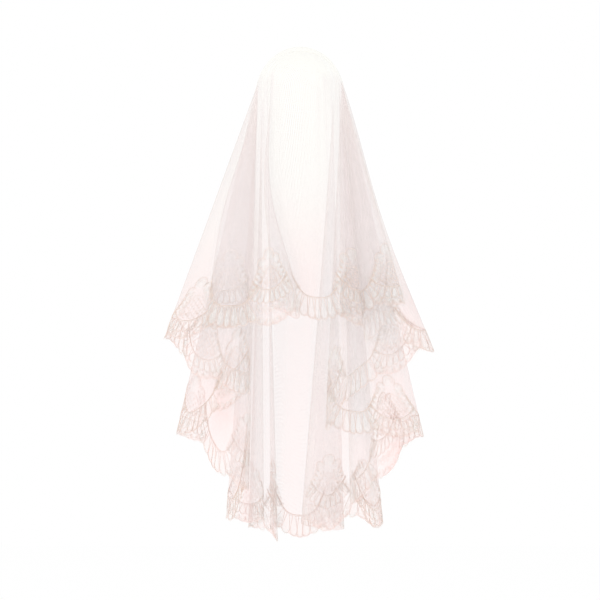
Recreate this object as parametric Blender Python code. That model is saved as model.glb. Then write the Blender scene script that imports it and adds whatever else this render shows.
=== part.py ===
"""A two-tier drop veil: one sheer oval laid over the crown of the head, edged all round with lace.

The cloth is one sheet. It follows the dome of the head down to the line where it leaves the head,
then hangs to the hem, straight or a little bowed. A table gives each fold of the hem and the place
where that fold leaves the head, and every section between the two is worked out from it.
Metres, +Z up, the face towards -Y, the origin on the wearer's crown.
"""

from typing import NamedTuple

import bpy
import numpy as np

# The head that carries the cloth: a general half egg, with the hair
HEAD_HALF_WIDTH = 0.098
HEAD_HALF_DEPTH = 0.111
CROWN_HEIGHT = 0.111
# The cloth is laid over the crown in a shallow tuck from temple to temple
TUCK_STEP = 0.008  # how much lower the front of the crown lies than the back
TUCK_DIP = 0.006  # the trough between them
TUCK_DEPTH = -0.014  # where the trough runs, in front of the middle of the head
TUCK_WIDTH = 0.007

TULLE_WALL = 0.0010
LACE_GROUND = 0.0011  # the lace between its motifs
LACE_RAISED = 0.0021  # the lace over its corded swag and frond tops
SEAM_GAP = 0.0003

# The lace edging: open swags, with even numbers, and arched medallions take turns along the hem
MOTIFS = 40
SWAG_HEIGHT = 0.050  # hem to seam under a swag
ARCH_HEIGHT = 0.172  # hem to seam over a medallion
ARCH_SHARPNESS = 1.95  # above 1 it broadens the swags and narrows the medallions
NOTCH_RISE = 0.018  # how far the hem rises between a swag and a medallion

# How the cloth is divided
SPAN_SAMPLES = 24
TURN_ROUNDNESS = 0.7  # from a turn's edge to its shoulders, as a share of half its depth
SHOULDER_SHARE = 0.3  # where shoulders leave the head, as a share of the way to the next fold
STRETCH_COLUMNS = (104, 68, 48, 80)  # front, right, back and left stretches of the hem
DOME_SHARE = 4  # one column of the dome for this many of the drop
BEND_PULL = 0.020  # metres of hem that a bend of one radian draws columns from
DOME_LEVELS = (0.22, 0.42, 0.60, 0.76, 0.89)
DROP_LEVELS = (0.0, 0.12, 0.29, 0.47, 0.66, 0.84, 1.0)
LACE_LEVELS = (0.0, 0.16, 0.45, 0.74, 1.0)
LACE_RELIEF = (0.0, 1.0, 0.0, 0.8, 0.0)  # share of the raised thickness on each lace row
PROBE = 0.003  # metres to each side over which the cloth's slope is read


class Fold(NamedTuple):
    """One fold of the hem. across and depth are +X and +Y, drop is below the crown."""

    name: str
    across: float
    depth: float
    half: float  # half the turn's depth: above 0 it turns to the back, below 0 to the front
    drop: float
    top_across: float
    top_depth: float


# Round the hem from the middle of the front, by the wearer's right side, to the back and on.
# A fold with no half is a point of the panel between two turns.
FOLDS = tuple(
    Fold(*row)
    for row in (
        ("centre front", 0.040, -0.108, 0, 0.601, 0.006, -0.097),
        ("front panel, right", -0.020, -0.0951, 0, 0.592, -0.0342, -0.0805),
        ("under front, right", -0.066, -0.0995, -0.012, 0.576, -0.0611, -0.0665),
        ("front edge, right", 0.000, -0.142, -0.0156, 0.598, -0.0733, -0.0719),
        ("front section, right", -0.099, -0.162, 0, 0.619, -0.0826, -0.0522),
        ("cheek fold, right", -0.205, -0.134, 0.016, 0.616, -0.089, -0.038),
        ("inner fold 1, right", -0.114, -0.107, 0.010, 0.612, -0.0915, -0.027),
        ("first corner, right", -0.299, -0.070, 0.024, 0.647, -0.092, -0.016),
        ("cascade 1, right", -0.242, -0.040, 0, 0.714, -0.0922, -0.011),
        ("inner fold 2, right", -0.110, -0.032, 0.012, 0.768, -0.0925, -0.007),
        ("second corner, right", -0.273, 0.006, 0.024, 0.858, -0.0925, 0.003),
        ("cascade 2, right", -0.218, 0.034, 0, 0.886, -0.0922, 0.008),
        ("cascade 3, right", -0.178, 0.036, 0, 0.944, -0.0921, 0.010),
        ("inner fold 3, right", -0.112, 0.044, 0.010, 0.976, -0.092, 0.013),
        ("back corner, right", -0.165, 0.083, 0.020, 1.045, -0.0905, 0.024),
        ("back section, right", -0.121, 0.112, 0, 1.050, -0.088, 0.031),
        ("back edge, right", -0.079, 0.122, 0.007, 1.056, -0.086, 0.038),
        ("under back, right", -0.114, 0.136, 0.007, 1.062, -0.081, 0.048),
        ("pinch, right", -0.048, 0.149, 0.005, 1.093, -0.076, 0.058),
        ("pinch return, right", -0.066, 0.159, 0.005, 1.072, -0.070, 0.068),
        ("centre back, right", -0.030, 0.169, 0, 1.082, -0.042, 0.098),
        ("centre back, left", 0.010, 0.172, 0, 1.086, 0.028, 0.104),
        ("under back, left", 0.099, 0.160, -0.009, 1.068, 0.068, 0.072),
        ("back edge, left", 0.002, 0.143, -0.009, 1.060, 0.080, 0.050),
        ("back section, left", 0.060, 0.132, 0, 1.070, 0.084, 0.045),
        ("back notch, left", 0.132, 0.130, 0, 1.042, 0.087, 0.040),
        ("back corner, left", 0.183, 0.100, -0.024, 1.064, 0.0895, 0.034),
        ("inner fold 3, left", 0.110, 0.064, -0.011, 1.008, 0.091, 0.024),
        ("cascade 3, left", 0.202, 0.052, 0, 0.932, 0.0912, 0.019),
        ("second corner, left", 0.273, 0.028, -0.024, 0.862, 0.0915, 0.014),
        ("cascade 2, left", 0.150, 0.004, 0, 0.856, 0.0918, 0.009),
        ("inner fold 2, left", 0.053, -0.008, -0.011, 0.843, 0.092, 0.004),
        ("raised swag, left", 0.128, -0.015, 0, 0.758, 0.0919, 0.001),
        ("cascade 1, left", 0.205, -0.020, 0, 0.722, 0.0918, -0.002),
        ("first corner, left", 0.295, -0.042, -0.022, 0.671, 0.0915, -0.008),
        ("inner fold 1, left", 0.141, -0.071, -0.009, 0.655, 0.090, -0.018),
        ("cheek fold, left", 0.230, -0.089, -0.010, 0.566, 0.0885, -0.028),
        ("under front, left", 0.088, -0.106, -0.008, 0.600, 0.086, -0.037),
        ("front edge, left", 0.136, -0.119, -0.007, 0.614, 0.083, -0.046),
        ("front panel, left", 0.096, -0.119, 0, 0.604, 0.056, -0.082),
    )
)
# The edging is eased on by hand: these motifs lie so many metres past a fold, the rest evenly between
MOTIF_PLACES = (
    (0, "centre front", 0.0),
    (3, "front edge, right", 0.069),
    (4, "cheek fold, right", -0.055),
    (7, "first corner, right", -0.063),
    (12, "second corner, right", -0.060),
    (17, "back section, right", 0.0),
    (23, "back section, left", 0.0),
    (29, "second corner, left", 0.074),
    (32, "raised swag, left", 0.0),
    (39, "front edge, left", 0.011),
)
# A few folds hang bowed between the head and the hem
BOWS = (  # fold, metres along to each side, most it swings across, first level, last level
    ("under front, right", 0.050, -0.010, 1.0, 1.9),
    ("front edge, right", 0.070, -0.023, 1.0, 1.9),
    ("cheek fold, right", 0.060, -0.019, 1.05, 2.05),
    ("first corner, left", 0.090, -0.015, 1.0, 2.1),
)
# The cloth is parted in the middle of the panel between the two folds named
RIGHT_PARTING = ("first corner, right", "inner fold 2, right")
BACK_RIGHT_PARTING = ("back corner, right", "back edge, right")
BACK_LEFT_PARTING = ("back edge, left", "back corner, left")
LEFT_PARTING = ("inner fold 2, left", "first corner, left")

# name, base colour, roughness
TULLE_FINISH = ("veil_tulle", (0.96, 0.90, 0.88, 1.0), 0.75)
LACE_FINISH = ("veil_lace", (0.86, 0.74, 0.70, 1.0), 0.65)


def hem_controls():
    """Each fold as points of the hem, with the place where they leave the head: three for a turn."""
    rows = []
    owners = []
    for index, fold in enumerate(FOLDS):
        owners.append(len(rows) + (1 if fold.half else 0))
        before, after = FOLDS[index - 1], FOLDS[(index + 1) % len(FOLDS)]
        inward = np.sign(before.across + after.across - 2 * fold.across)
        for side in (-1, 0, 1) if fold.half else (0,):
            shoulder = abs(side) * inward * abs(fold.half) * TURN_ROUNDNESS
            towards = after if side > 0 else before
            share = abs(side) * SHOULDER_SHARE
            top_across = fold.top_across + (towards.top_across - fold.top_across) * share
            top_depth = fold.top_depth + (towards.top_depth - fold.top_depth) * share
            across, depth = fold.across + shoulder, fold.depth + side * fold.half
            rows.append((across, depth, -fold.drop, top_across, top_depth))
    return np.array(rows), owners


def closed_spline(points, samples):
    """A closed curve through the points, with knots spaced by the root of the distance between them."""
    ahead = np.roll(points, -1, axis=0)
    gaps = np.linalg.norm((ahead - points)[:, :3], axis=1)[:, None] ** 0.5
    slopes = (ahead - points) / gaps
    before_gaps, before_slopes = np.roll(gaps, 1, axis=0), np.roll(slopes, 1, axis=0)
    tangents = (before_slopes * gaps + slopes * before_gaps) / (before_gaps + gaps)
    leave = (tangents * gaps)[:, None]
    arrive = (np.roll(tangents, -1, axis=0) * gaps)[:, None]
    t = np.linspace(0, 1, samples, endpoint=False)[None, :, None]
    ease = 3 * t**2 - 2 * t**3
    curve = points[:, None] * (1 - ease) + ahead[:, None] * ease
    curve += leave * (t**3 - 2 * t**2 + t) + arrive * (t**3 - t**2)
    return curve.reshape(-1, points.shape[1])


def dome_point(across, depth):
    """The cloth on the head, over a place given by across and depth."""
    spread = (across / HEAD_HALF_WIDTH) ** 2 + (depth / HEAD_HALF_DEPTH) ** 2
    fade = np.sqrt(np.clip(1 - spread, 0, 1))
    from_trough = (depth - TUCK_DEPTH) / TUCK_WIDTH
    step = TUCK_STEP * (1 - np.tanh(from_trough)) / 2
    trough = TUCK_DIP * np.exp(-(from_trough**2))
    height = CROWN_HEIGHT * (fade - 1) - (step + trough) * fade
    return np.stack([across, depth, height], axis=-1)


def unit(vectors):
    return vectors / np.linalg.norm(vectors, axis=-1, keepdims=True)


class Drape:
    """The cloth's form: where each place of the sheet lies.

    A place is a distance along the hem, with a level: 0 on the crown, 1 where the cloth leaves
    the head and 2 at the hem.
    """

    def __init__(self):
        controls, owners = hem_controls()
        curve = closed_spline(controls, SPAN_SAMPLES)
        self.curve = np.vstack([curve, curve[:1]])
        steps = np.linalg.norm(np.diff(self.curve[:, :3], axis=0), axis=1)
        self.distance = np.concatenate([[0.0], np.cumsum(steps)])
        self.length = self.distance[-1]
        self.fold_at = {
            fold.name: self.distance[owner * SPAN_SAMPLES]
            for fold, owner in zip(FOLDS, owners, strict=True)
        }
        self.motif_numbers = [number for number, _, _ in MOTIF_PLACES] + [MOTIFS]
        self.motif_places = [self.fold_at[name] + on for _, name, on in MOTIF_PLACES] + [self.length]

    def read(self, along):
        """Hem points, and the places above them where the cloth leaves the head."""
        wrapped = np.mod(along, self.length)
        values = [np.interp(wrapped, self.distance, column) for column in self.curve.T]
        return np.stack(values[:3], axis=-1), dome_point(values[3], values[4])

    def line(self, along):
        """The length of the straight fall from the head to the hem."""
        hem, top = self.read(along)
        return np.linalg.norm(hem - top, axis=-1)

    def place(self, along, level):
        hem, top = self.read(along)
        on_head = np.clip(level, 0, 1)
        fallen = np.clip(level - 1, 0, 1)[..., None]
        on_dome = dome_point(top[..., 0] * on_head, top[..., 1] * on_head)
        bowed = self.bow_across(along, level)[..., None] * (1.0, 0.0, 0.0)
        return on_dome + (hem - top) * fallen + bowed

    def bow_across(self, along, level):
        """How far a bowed fold swings across between its two ends."""
        across = np.zeros(np.broadcast(along, level).shape)
        for name, reach, most, first, last in BOWS:
            off = (along - self.fold_at[name] + self.length / 2) % self.length - self.length / 2
            share = np.clip((level - first) / (last - first), 0, 1)
            across = across + most * np.sin(np.pi * share) ** 2 * np.exp(-((off / reach) ** 2))
        return across

    def outward(self, along, level):
        """The direction that points out of the cloth."""
        level_probe = PROBE / self.line(along)
        course = self.place(along + PROBE, level) - self.place(along - PROBE, level)
        fall = self.place(along, level + level_probe) - self.place(along, level - level_probe)
        return unit(np.cross(course, fall))

    def course(self, along, level):
        return unit(self.place(along + PROBE, level) - self.place(along - PROBE, level))

    def middle(self, names):
        """Half way along the hem between two folds."""
        return sum(self.fold_at[name] for name in names) / 2

    def motif(self, along):
        """Which motif lies here: a whole number in its middle, even for a swag."""
        return np.interp(np.mod(along, self.length), self.motif_places, self.motif_numbers)

    def hem_level(self, along):
        rise = NOTCH_RISE * (1 - np.abs(np.cos(np.pi * self.motif(along))))
        return 2 - rise / self.line(along)

    def seam_level(self, along, gap=0.0):
        arch = ((1 - np.cos(np.pi * self.motif(along))) / 2) ** ARCH_SHARPNESS
        rise = SWAG_HEIGHT + (ARCH_HEIGHT - SWAG_HEIGHT) * arch
        steep = np.abs(np.diff(rise) / np.diff(along))
        lean = np.maximum(np.append(steep, steep[-1]), np.insert(steep, 0, steep[0]))
        return 2 - (rise + gap * np.sqrt(1 + lean**2)) / self.line(along)

    def columns(self, start, end, count):
        """Distances along the hem from start to end, closer together where the hem bends."""
        fine = np.linspace(start, end, count * 12)
        steps = np.diff(self.read(fine)[0][:, :2], axis=0)
        heading = np.unwrap(np.arctan2(steps[:, 1], steps[:, 0]))
        bend = np.abs(np.diff(heading, prepend=heading[0]))
        filled = np.concatenate([[0.0], np.cumsum(np.diff(fine) + BEND_PULL * bend)])
        return np.interp(np.linspace(0, filled[-1], count + 1), filled, fine)


def strip_faces(upper, lower):
    """Triangles between two rows of point numbers. The lower row may have a multiple of the columns."""
    ratio = (len(lower) - 1) // (len(upper) - 1)
    faces = []
    for step, (left, right) in enumerate(zip(upper, upper[1:], strict=False)):
        below = lower[step * ratio : (step + 1) * ratio + 1]
        pairs = list(zip(below, below[1:], strict=False))
        split = (ratio + 1) // 2
        faces += [(left, b, a) for a, b in pairs[:split]]
        faces.append((left, right, below[split]))
        faces += [(right, b, a) for a, b in pairs[split:]]
    return faces


def rim_faces(faces, count):
    """Triangles that join the open edges of an outer sheet to an inner one, count numbers further on."""
    edges = {(a, b) for face in faces for a, b in zip(face, face[1:] + face[:1], strict=True)}
    rim = []
    for a, b in sorted(edges):
        if (b, a) in edges:
            continue
        if a < b:
            rim += [(b, a, b + count), (a, a + count, b + count)]
        else:
            rim += [(b, a, a + count), (b, a + count, b + count)]
    return rim


def sheet_row(drape, along, level):
    """A row of places and their outward directions, its two ends drawn in by half a seam gap."""
    level = np.broadcast_to(level, along.shape)
    points, outward = drape.place(along, level), drape.outward(along, level)
    ends = drape.course(along[[0, -1]], level[[0, -1]]) * SEAM_GAP / 2
    points[0] += ends[0]
    points[-1] -= ends[1]
    return points, outward


def make_wall(name, rows, thickness, finish, pole=None):
    """One closed solid of cloth: rows over its plain inner side, thickened outwards by row."""
    inner = [] if pole is None else [pole]
    outer = [] if pole is None else [pole + (0, 0, thickness[0])]
    numbers = []
    for (points, outward), thick in zip(rows, thickness, strict=True):
        numbers.append(tuple(range(len(inner), len(inner) + len(points))))
        inner += list(points)
        outer += list(points + outward * thick)
    faces = []
    if pole is not None:
        faces += [(0, b, a) for a, b in zip(numbers[0], numbers[0][1:], strict=False)]
    for upper, lower in zip(numbers, numbers[1:], strict=False):
        faces += strip_faces(upper, lower)
    count = len(outer)
    inside = [tuple(number + count for number in reversed(face)) for face in faces]
    mesh = bpy.data.meshes.new(name)
    mesh.from_pydata(np.array(outer + inner), [], faces + inside + rim_faces(faces, count))
    mesh.materials.append(finish)
    mesh.shade_smooth()
    wall = bpy.data.objects.new(name, mesh)
    bpy.context.collection.objects.link(wall)
    return wall


def tulle_drop(drape, name, columns, towards, finish):
    """One drop of the tulle, from the crown to the seam. towards is -1 for the front, 1 for the back."""
    coarse = columns[::DOME_SHARE]
    rows = [sheet_row(drape, coarse, level) for level in DOME_LEVELS]
    seam = drape.seam_level(columns, SEAM_GAP)
    rows += [sheet_row(drape, columns, 1 + (seam - 1) * level) for level in DROP_LEVELS]
    pole = dome_point(0.0, 0.0) + np.array((0, towards * SEAM_GAP / 2, 0))
    return make_wall(name, rows, [TULLE_WALL] * len(rows), finish, pole)


def lace_edging(drape, name, columns, finish):
    """One length of the edging, from its waved seam to its scalloped hem, raised over its cords."""
    seam, hem = drape.seam_level(columns), drape.hem_level(columns)
    rows = [sheet_row(drape, columns, seam + (hem - seam) * level) for level in LACE_LEVELS]
    thickness = [LACE_GROUND + (LACE_RAISED - LACE_GROUND) * share for share in LACE_RELIEF]
    return make_wall(name, rows, thickness, finish)


def make_finish(name, colour, roughness):
    finish = bpy.data.materials.new(name)
    finish.use_nodes = True
    shader = finish.node_tree.nodes["Principled BSDF"]
    shader.inputs["Base Color"].default_value = colour
    shader.inputs["Roughness"].default_value = roughness
    return finish


def build():
    for item in list(bpy.data.objects):
        bpy.data.objects.remove(item, do_unlink=True)
    drape = Drape()
    right, back_right = drape.middle(RIGHT_PARTING), drape.middle(BACK_RIGHT_PARTING)
    back_left, left = drape.middle(BACK_LEFT_PARTING), drape.middle(LEFT_PARTING)
    ends = ((left - drape.length, right), (right, back_right), (back_right, back_left), (back_left, left))
    front, right_side, back, left_side = (
        drape.columns(*pair, count) for pair, count in zip(ends, STRETCH_COLUMNS, strict=True)
    )
    tulle = make_finish(*TULLE_FINISH)
    tulle_drop(drape, "tulle_front", front, -1, tulle)
    behind = np.concatenate([right_side, back[1:], left_side[1:]])
    tulle_drop(drape, "tulle_back", behind, 1, tulle)
    lace = make_finish(*LACE_FINISH)
    lace_edging(drape, "lace_front", front, lace)
    lace_edging(drape, "lace_right", right_side, lace)
    lace_edging(drape, "lace_back", back, lace)
    lace_edging(drape, "lace_left", left_side, lace)


build()
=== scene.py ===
# %% [markdown]
# # A bridal veil, dressed
# A drop veil is one oval of sheer net laid over the head: a short drop falls in front, a long one
# behind, and the sides cascade between the two. A wide corded lace runs round its whole edge.
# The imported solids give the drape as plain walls. Here it's made again as a thin, fine net, and
# the lace is laid on it cord by cord.

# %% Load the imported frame
import math
from typing import NamedTuple

import bpy
import numpy as np
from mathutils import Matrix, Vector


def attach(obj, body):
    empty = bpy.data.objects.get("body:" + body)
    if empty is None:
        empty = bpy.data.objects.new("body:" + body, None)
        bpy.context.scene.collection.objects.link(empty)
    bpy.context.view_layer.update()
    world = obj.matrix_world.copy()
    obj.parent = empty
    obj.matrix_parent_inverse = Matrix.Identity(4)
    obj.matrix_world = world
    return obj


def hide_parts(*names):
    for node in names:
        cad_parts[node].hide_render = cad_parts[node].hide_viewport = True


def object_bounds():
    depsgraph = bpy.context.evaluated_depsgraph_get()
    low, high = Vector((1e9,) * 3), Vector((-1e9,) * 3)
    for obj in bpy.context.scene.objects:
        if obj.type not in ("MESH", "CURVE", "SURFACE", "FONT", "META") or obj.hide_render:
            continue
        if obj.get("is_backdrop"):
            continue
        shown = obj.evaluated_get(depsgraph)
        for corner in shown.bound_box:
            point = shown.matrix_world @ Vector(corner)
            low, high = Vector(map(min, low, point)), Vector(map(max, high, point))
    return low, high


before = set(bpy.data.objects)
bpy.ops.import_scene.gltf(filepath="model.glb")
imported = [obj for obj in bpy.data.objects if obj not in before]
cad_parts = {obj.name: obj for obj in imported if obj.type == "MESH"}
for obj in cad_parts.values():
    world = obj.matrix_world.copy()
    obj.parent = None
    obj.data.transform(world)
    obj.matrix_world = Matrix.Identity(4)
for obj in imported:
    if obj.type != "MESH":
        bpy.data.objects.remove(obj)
cad_low, cad_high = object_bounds()
print("nodes:", ", ".join(sorted(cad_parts)))

# %% [markdown]
# ## Camera, room and light
# Sheer net is hard to show: each layer takes away only a few hundredths of the light behind it.
# So the room is white and evenly lit, which leaves the layers themselves to do the drawing. A
# long lens from far away keeps the front and the back drop at one scale.

# %% Camera
VIEW_WIDTH = 1.32  # metres across the frame, at the veil
VIEW_HEIGHT = -0.557  # the middle of the frame, below the crown
LENS = 400.0
SENSOR = 36.0
FARTHEST = 60.0


def add_object(name, data):
    """An object with this data, put into the scene."""
    added = bpy.data.objects.new(name, data)
    bpy.context.scene.collection.objects.link(added)
    return added


camera_data = bpy.data.cameras.new("camera")
camera_data.lens = LENS
camera_data.sensor_width = SENSOR
camera_data.clip_end = FARTHEST
camera = add_object("camera", camera_data)
camera.location = (0.0, -VIEW_WIDTH * LENS / SENSOR, VIEW_HEIGHT)
camera.rotation_euler = (math.radians(90), 0.0, 0.0)
bpy.context.scene.camera = camera
print("camera stands", round(-camera.location.y, 2), "m in front of the veil")

# %% Room and lights
FLOOR_DROP = 1.65  # the floor under a standing wearer's veil
ROOM_SIZE = 30.0
FLOOR_WHITE = (0.98, 0.98, 0.98, 1.0)
FLOOR_GLOW = 0.015  # makes up for what the floor swallows
WORLD_WHITE = {"Color": (1.0, 1.0, 1.0, 1.0), "Strength": 1.0}
NET_BOUNCES = 64  # light has to pass through many layers of net
SOFTBOXES = (  # name, place, size, watts
    ("key", (-2.6, -3.4, -0.1), 2.4, 60.0),
    ("fill", (3.2, -2.6, -0.7), 2.4, 20.0),
)


def set_inputs(tree, node, inputs):
    """Give inputs of a node a constant each, or a link from another node."""
    for name, value in inputs.items():
        if hasattr(value, "links"):
            tree.links.new(value, node.inputs[name])
        else:
            node.inputs[name].default_value = value


def new_finish(name, roughness, gloss=0.15):
    """A material, with its tree and its shader at hand."""
    finish = bpy.data.materials.new(name)
    finish.use_nodes = True
    tree = finish.node_tree
    shader = tree.nodes["Principled BSDF"]
    set_inputs(tree, shader, {"Roughness": roughness, "Specular IOR Level": gloss})
    return finish, tree, shader


def floor_finish():
    finish, tree, shader = new_finish("floor_white", 0.9, gloss=0.0)
    set_inputs(tree, shader, {"Base Color": FLOOR_WHITE, "Emission Strength": FLOOR_GLOW})
    return finish


bpy.ops.mesh.primitive_plane_add(size=ROOM_SIZE, location=(0.0, 0.0, -FLOOR_DROP))
floor = bpy.context.active_object
floor.name = "floor"
floor.data.materials.append(floor_finish())
floor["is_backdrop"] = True

world = bpy.data.worlds.new("white_room")
world.use_nodes = True
set_inputs(world.node_tree, world.node_tree.nodes["Background"], WORLD_WHITE)
bpy.context.scene.world = world
for name, place, size, watts in SOFTBOXES:
    light_data = bpy.data.lights.new(name, "AREA")
    light_data.size = size
    light_data.energy = watts
    light = add_object(name, light_data)
    light.location = place
    aim = np.array((0.0, 0.0, VIEW_HEIGHT)) - place
    tilt, turn = math.acos(-aim[2] / np.linalg.norm(aim)), math.atan2(-aim[0], aim[1])
    light.rotation_euler = (tilt, 0.0, turn)
bpy.context.scene.view_settings.view_transform = "Standard"
bpy.context.scene.cycles.transparent_max_bounces = NET_BOUNCES
print("room: floor", FLOOR_DROP, "m below the crown,", len(SOFTBOXES), "softboxes")

# %% [markdown]
# ## The drape
# Cloth that hangs from a head falls in nearly straight lines from where it leaves the head to its
# hem, so two closed curves hold the whole form: the line where it leaves the head, and the hem.
# The table has a row for each fold. A turn is a fold's edge, where the cloth doubles back, and has
# a half depth; a row without one is a point on the flat panel between two turns.
# The rows repeat those of the solids, so the net lies exactly on the walls that it replaces.

# %% Sizes of the drape
HEAD_HALF_WIDTH = 0.098
HEAD_HALF_DEPTH = 0.111
CROWN_HEIGHT = 0.111  # from the crown down to where the cloth leaves the head
TUCK_STEP = 0.008  # how much lower the cloth lies in front of the tuck
TUCK_DIP = 0.006  # how deep its trough is
TUCK_DEPTH = -0.014  # where it runs from temple to temple
TUCK_WIDTH = 0.007
MOTIFS = 40
SWAG_HEIGHT = 0.050  # of the lace, in the middle of a swag
ARCH_HEIGHT = 0.172  # and in the middle of a medallion
NOTCH_RISE = 0.018  # how far the hem rises between two scallops
ARCH_SHARPNESS = 1.95
SPAN_SAMPLES = 24  # points of the curve from one row to the next
TURN_ROUNDNESS = 0.7
SHOULDER_SHARE = 0.3  # how far a turn reaches towards its neighbours on the head
BEND_PULL = 0.020  # how strongly the columns of the net crowd into a bend
PROBE = 0.003  # the step that directions are read over


class Fold(NamedTuple):
    name: str
    across: float
    depth: float
    half: float
    drop: float
    top_across: float
    top_depth: float


FOLD_ROWS = (
    ("centre front", 0.04, -0.108, 0, 0.601, 0.006, -0.097),
    ("front panel, right", -0.02, -0.0951, 0, 0.592, -0.0342, -0.0805),
    ("under front, right", -0.066, -0.0995, -0.012, 0.576, -0.0611, -0.0665),
    ("front edge, right", 0, -0.142, -0.0156, 0.598, -0.0733, -0.0719),
    ("front section, right", -0.099, -0.162, 0, 0.619, -0.0826, -0.0522),
    ("cheek fold, right", -0.205, -0.134, 0.016, 0.616, -0.089, -0.038),
    ("inner fold 1, right", -0.114, -0.107, 0.01, 0.612, -0.0915, -0.027),
    ("first corner, right", -0.299, -0.07, 0.024, 0.647, -0.092, -0.016),
    ("cascade 1, right", -0.242, -0.04, 0, 0.714, -0.0922, -0.011),
    ("inner fold 2, right", -0.11, -0.032, 0.012, 0.768, -0.0925, -0.007),
    ("second corner, right", -0.273, 0.006, 0.024, 0.858, -0.0925, 0.003),
    ("cascade 2, right", -0.218, 0.034, 0, 0.886, -0.0922, 0.008),
    ("cascade 3, right", -0.178, 0.036, 0, 0.944, -0.0921, 0.01),
    ("inner fold 3, right", -0.112, 0.044, 0.01, 0.976, -0.092, 0.013),
    ("back corner, right", -0.165, 0.083, 0.02, 1.045, -0.0905, 0.024),
    ("back section, right", -0.121, 0.112, 0, 1.05, -0.088, 0.031),
    ("back edge, right", -0.079, 0.122, 0.007, 1.056, -0.086, 0.038),
    ("under back, right", -0.114, 0.136, 0.007, 1.062, -0.081, 0.048),
    ("pinch, right", -0.048, 0.149, 0.005, 1.093, -0.076, 0.058),
    ("pinch return, right", -0.066, 0.159, 0.005, 1.072, -0.07, 0.068),
    ("centre back, right", -0.03, 0.169, 0, 1.082, -0.042, 0.098),
    ("centre back, left", 0.01, 0.172, 0, 1.086, 0.028, 0.104),
    ("under back, left", 0.099, 0.16, -0.009, 1.068, 0.068, 0.072),
    ("back edge, left", 0.002, 0.143, -0.009, 1.06, 0.08, 0.05),
    ("back section, left", 0.06, 0.132, 0, 1.07, 0.084, 0.045),
    ("back notch, left", 0.132, 0.13, 0, 1.042, 0.087, 0.04),
    ("back corner, left", 0.183, 0.1, -0.024, 1.064, 0.0895, 0.034),
    ("inner fold 3, left", 0.11, 0.064, -0.011, 1.008, 0.091, 0.024),
    ("cascade 3, left", 0.202, 0.052, 0, 0.932, 0.0912, 0.019),
    ("second corner, left", 0.273, 0.028, -0.024, 0.862, 0.0915, 0.014),
    ("cascade 2, left", 0.15, 0.004, 0, 0.856, 0.0918, 0.009),
    ("inner fold 2, left", 0.053, -0.008, -0.011, 0.843, 0.092, 0.004),
    ("raised swag, left", 0.128, -0.015, 0, 0.758, 0.0919, 0.001),
    ("cascade 1, left", 0.205, -0.02, 0, 0.722, 0.0918, -0.002),
    ("first corner, left", 0.295, -0.042, -0.022, 0.671, 0.0915, -0.008),
    ("inner fold 1, left", 0.141, -0.071, -0.009, 0.655, 0.09, -0.018),
    ("cheek fold, left", 0.23, -0.089, -0.01, 0.566, 0.0885, -0.028),
    ("under front, left", 0.088, -0.106, -0.008, 0.6, 0.086, -0.037),
    ("front edge, left", 0.136, -0.119, -0.007, 0.614, 0.083, -0.046),
    ("front panel, left", 0.096, -0.119, 0, 0.604, 0.056, -0.082),
)
FOLDS = tuple(Fold(*row) for row in FOLD_ROWS)
MOTIF_PLACES = (  # motif, the fold that it lies by and metres past it
    (0, "centre front", 0),
    (3, "front edge, right", 0.069),
    (4, "cheek fold, right", -0.055),
    (7, "first corner, right", -0.063),
    (12, "second corner, right", -0.06),
    (17, "back section, right", 0),
    (23, "back section, left", 0),
    (29, "second corner, left", 0.074),
    (32, "raised swag, left", 0),
    (39, "front edge, left", 0.011),
)
PARTED_BETWEEN = (  # the lengths of lace meet halfway between two folds
    ("first corner, right", "inner fold 2, right"),
    ("back corner, right", "back edge, right"),
    ("back edge, left", "back corner, left"),
    ("inner fold 2, left", "first corner, left"),
)
print(len(FOLDS), "folds and panel points round the hem")


# %% The two curves
def travelled(lengths):
    """How far along a line each of its points is, from the lengths between them."""
    return np.concatenate([[0.0], np.cumsum(lengths)])


def hem_controls():
    """The folds as points of the hem, three for a turn, each with where it leaves the head."""
    rows, owners = [], []
    for index, fold in enumerate(FOLDS):
        owners.append(len(rows) + (1 if fold.half else 0))
        before, after = FOLDS[index - 1], FOLDS[(index + 1) % len(FOLDS)]
        inward = np.sign(before.across + after.across - 2 * fold.across)
        for side in (-1, 0, 1) if fold.half else (0,):
            shoulder = abs(side) * inward * abs(fold.half) * TURN_ROUNDNESS
            towards = after if side > 0 else before
            share = abs(side) * SHOULDER_SHARE
            top_across = fold.top_across + (towards.top_across - fold.top_across) * share
            top_depth = fold.top_depth + (towards.top_depth - fold.top_depth) * share
            across, depth = fold.across + shoulder, fold.depth + side * fold.half
            rows.append((across, depth, -fold.drop, top_across, top_depth))
    return np.array(rows), owners


def closed_spline(points, samples):
    """A closed curve through the points, its knots spaced by the root of their distance."""
    ahead = np.roll(points, -1, axis=0)
    gaps = np.linalg.norm((ahead - points)[:, :3], axis=1)[:, None] ** 0.5
    slopes = (ahead - points) / gaps
    before_gaps, before_slopes = np.roll(gaps, 1, axis=0), np.roll(slopes, 1, axis=0)
    tangents = (before_slopes * gaps + slopes * before_gaps) / (before_gaps + gaps)
    leave = (tangents * gaps)[:, None]
    arrive = (np.roll(tangents, -1, axis=0) * gaps)[:, None]
    t = np.linspace(0, 1, samples, endpoint=False)[None, :, None]
    ease = 3 * t**2 - 2 * t**3
    curve = points[:, None] * (1 - ease) + ahead[:, None] * ease
    curve += leave * (t**3 - 2 * t**2 + t) + arrive * (t**3 - t**2)
    return curve.reshape(-1, points.shape[1])


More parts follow.
